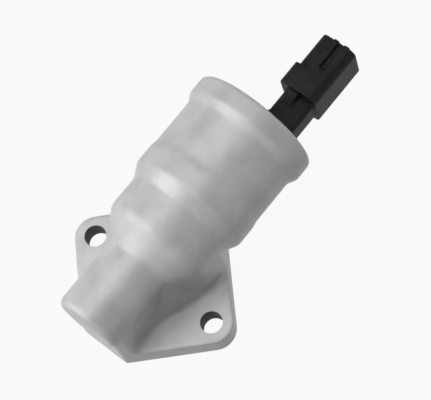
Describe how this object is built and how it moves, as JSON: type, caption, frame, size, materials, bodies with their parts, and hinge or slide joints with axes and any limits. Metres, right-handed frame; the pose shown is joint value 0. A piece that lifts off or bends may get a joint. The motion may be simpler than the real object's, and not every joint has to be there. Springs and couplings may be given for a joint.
{
  "type": "idle air control valve",
  "caption": "Solenoid idle air valve: cast aluminium body on a bolt flange, face-sealed air ports, sprung poppet on a sliding shaft, moulded electrical socket.",
  "frame": {"origin": "centre of the mounting face, midway between the two bolt holes", "axes": "+Z out of the mounting face through the flange to the body, +X along the valve axis from the blind snout to the connector, Y along the line of the two bolts"},
  "size_m": [0.1107, 0.059, 0.0439],
  "materials": {
    "cast_aluminium": "matte cast, fine grain",
    "turned_aluminium": "turned",
    "seal_rubber": "matte",
    "turned_brass": "turned",
    "sintered_bronze": "matte sintered",
    "plated_steel": "zinc plated",
    "core_steel": "turned",
    "stainless_steel": "ground",
    "spring_steel": "drawn wire",
    "natural_nylon": "moulded",
    "copper_wire": "enamelled wire",
    "black_nylon": "moulded, glass filled",
    "tinned_contact": "tin plated"
  },
  "bodies": {
    "body": {"housing": "cast_aluminium", "flange_seal": "seal_rubber", "valve_seat": "turned_brass", "guide_plate": "plated_steel", "guide_bush": "sintered_bronze", "lower_flux_plate": "plated_steel", "flux_sleeve": "plated_steel", "upper_flux_plate": "plated_steel", "coil_former": "natural_nylon", "coil_winding": "copper_wire", "armature_tube": "turned_brass", "fixed_core": "core_steel", "core_bush": "sintered_bronze", "stop_shim": "turned_brass", "connector_head": "black_nylon", "head_o_ring": "seal_rubber", "contact_blade_a": "tinned_contact", "contact_blade_b": "tinned_contact", "return_spring": "spring_steel", "balance_spring": "spring_steel"},
    "plunger": {"armature": "core_steel", "valve_shaft": "stainless_steel", "poppet": "turned_aluminium", "poppet_facing": "seal_rubber", "poppet_clip": "stainless_steel"}
  },
  "joints": [
    {"name": "plunger_slide", "type": "slide", "parent": "body", "child": "plunger", "axis": [1, 0, 0], "range_m": [0, 0.0028], "stiffness_N_per_m": 800, "springref_m": -0.004, "deforming": ["return_spring", "balance_spring"]}
  ]
}
